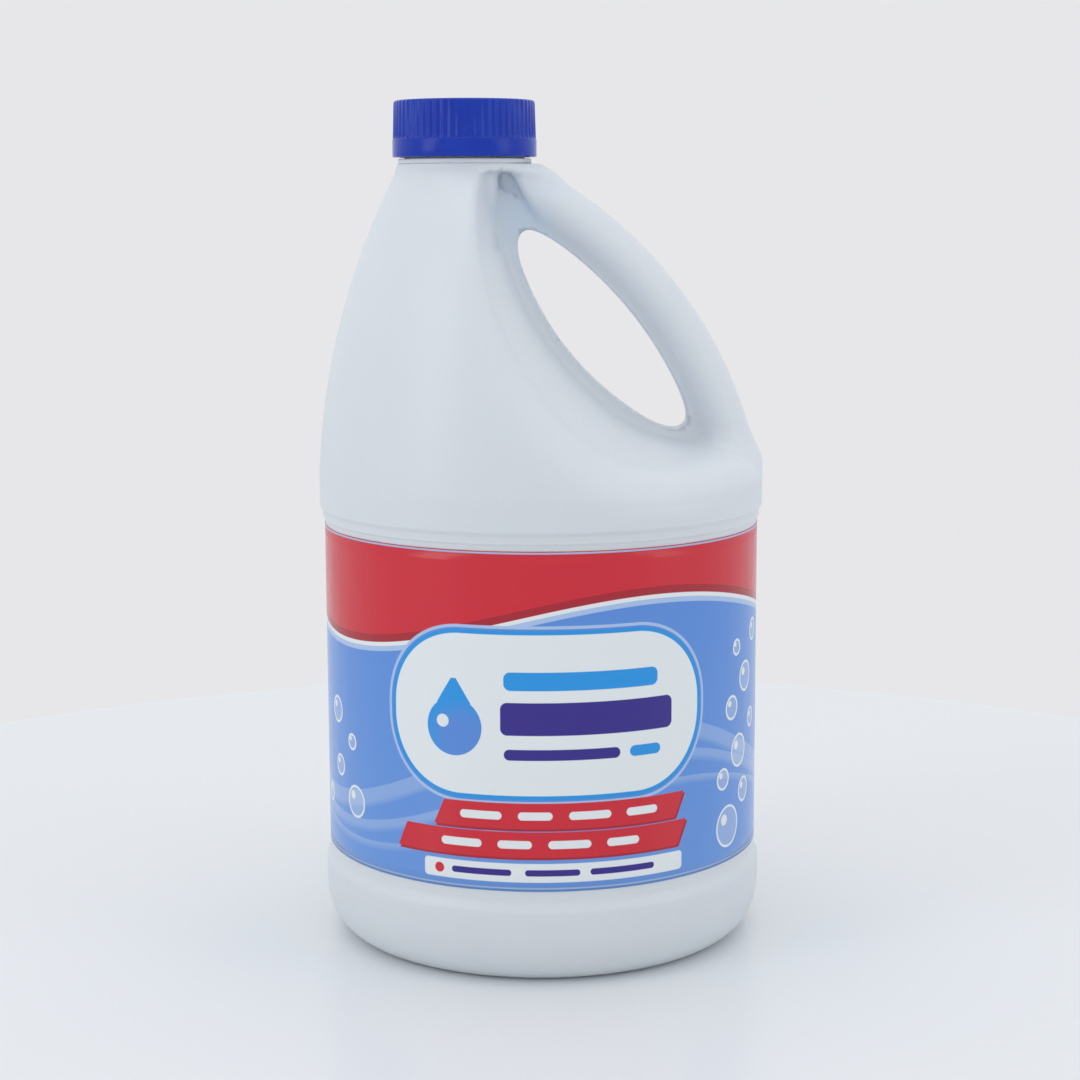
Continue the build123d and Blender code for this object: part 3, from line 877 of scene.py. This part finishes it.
    # thin pale lines along the film's two edges
    for atV in (labelBox[0].z + size["edgeLow"], labelBox[1].z - size["edgeHigh"]):
        color = blendColor(tree, patch(0, atV, *size["edgeLine"]), color, ink["pale"])
    tree.links.new(color, bsdf.inputs["Base Color"])
    mould = addGroup(tree, mouldTexture, **look["mould"])
    bump(tree, mould["Height"], bsdf)
    variedRoughness(tree, bsdf, mould["Mottle"], look)
    return mat


plastic = bottlePlastic()
paint(bottleShell, plastic)
paint(bottleNeck, plastic)
paint(screwCap, capPlastic())
paint(labelFilm, labelPrint())
paint(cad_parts["cap_seal"], sealFoam())
for node, mat in (("bottle", plastic), ("cap", screwCap.data.materials[0]),
                  ("label", labelFilm.data.materials[0])):
    paint(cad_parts[node], mat)
print("materials made")

stageSizes = {
    "tableRadius": 0.36, "tableThickness": 0.012, "tableEdge": 0.002, "floorSize": 8.0,
    "tableRoughness": 0.3, "floorRoughness": 0.6,
    "floor": (231, 233, 234), "backdrop": (231, 231, 233), "room": (233, 236, 240), "roomLight": 1.0,
}


def showBackdrop(tree, shader, backdrop, output):
    # the camera sees the backdrop, and all other light the shader
    path = tree.nodes.new("ShaderNodeLightPath")
    mix = tree.nodes.new("ShaderNodeMixShader")
    tree.links.new(path.outputs["Is Camera Ray"], mix.inputs[0])
    tree.links.new(shader.outputs[0], mix.inputs[1])
    tree.links.new(backdrop.outputs[0], mix.inputs[2])
    tree.links.new(mix.outputs[0], tree.nodes[output].inputs["Surface"])


def makeStage():
    s = stageSizes
    bm = bmesh.new()
    bmesh.ops.create_cone(bm, cap_ends=True, segments=256, radius1=s["tableRadius"],
                          radius2=s["tableRadius"], depth=s["tableThickness"])
    bmesh.ops.translate(bm, verts=bm.verts, vec=(0, 0, -s["tableThickness"] / 2))
    roundEdges(bm, s["tableEdge"] / mm)
    table = link("turntable", bm)
    bm = bmesh.new()
    bmesh.ops.create_grid(bm, x_segments=1, y_segments=1, size=s["floorSize"] / 2)
    bmesh.ops.translate(bm, verts=bm.verts, vec=(0, 0, -s["tableThickness"]))
    floor = link("floor", bm)
    for obj, roughness in ((table, s["tableRoughness"]), (floor, s["floorRoughness"])):
        mat, tree, bsdf = newMaterial(obj.name + "White")
        bsdf.inputs["Base Color"].default_value = linear(*s["floor"])
        bsdf.inputs["Roughness"].default_value = roughness
        paint(obj, mat)
    # the floor, painted last, shows the backdrop's colour past the table
    glow = tree.nodes.new("ShaderNodeEmission")
    glow.inputs["Color"].default_value = linear(*s["backdrop"])
    showBackdrop(tree, bsdf, glow, "Material Output")
    table.data.polygons.foreach_set("use_smooth", [False] * len(table.data.polygons))
    world = bpy.data.worlds.new("studio")
    bpy.context.scene.world = world
    world.use_nodes = True
    tree = world.node_tree
    room = tree.nodes["Background"]
    room.inputs["Color"].default_value = linear(*s["room"])
    room.inputs["Strength"].default_value = s["roomLight"]
    seen = tree.nodes.new("ShaderNodeBackground")
    seen.inputs["Color"].default_value = linear(*s["backdrop"])
    seen.inputs["Strength"].default_value = 1.0
    showBackdrop(tree, room, seen, "World Output")


lamps = {
    "keyLeft": {"place": (-1.1, -0.7, 0.7), "target": (0, 0, 0.12), "size": (0.5, 1.2), "power": 2.8},
    "fillRight": {"place": (1.2, -0.5, 0.6), "target": (0, 0, 0.12), "size": (0.5, 1.2), "power": 1.6},
    "top": {"place": (0, 0.1, 1.4), "target": (0, 0, 0.1), "size": (1.2, 1.0), "power": 2.6},
}


def areaLight(name, place, target, size, power):
    data = bpy.data.lights.new(name, "AREA")
    data.shape = "RECTANGLE"
    data.size, data.size_y = size
    data.energy = power
    lamp = bpy.data.objects.new(name, data)
    bpy.context.scene.collection.objects.link(lamp)
    lamp.location = place
    lamp.rotation_euler = (Vector(target) - Vector(place)).to_track_quat("-Z", "Y").to_euler()


makeStage()
for name, lamp in lamps.items():
    areaLight(name, **lamp)

cameraSizes = {"lens": 74.8, "sensor": 36, "place": (0, -0.6922, 0.2279), "down": 0.15234,
               "aside": 0.0005, "roll": -0.004}


def makeCamera():
    c = cameraSizes
    data = bpy.data.cameras.new("camera")
    camera = bpy.data.objects.new("camera", data)
    bpy.context.scene.collection.objects.link(camera)
    bpy.context.scene.camera = camera
    data.lens = c["lens"]
    data.sensor_width = c["sensor"]
    turn = Matrix.Rotation(c["aside"], 4, "Z") @ Matrix.Rotation(math.pi / 2 - c["down"], 4, "X")
    camera.matrix_world = Matrix.Translation(c["place"]) @ turn @ Matrix.Rotation(c["roll"], 4, "Z")


makeCamera()
bpy.context.scene.view_settings.view_transform = "Standard"
print("stage made")
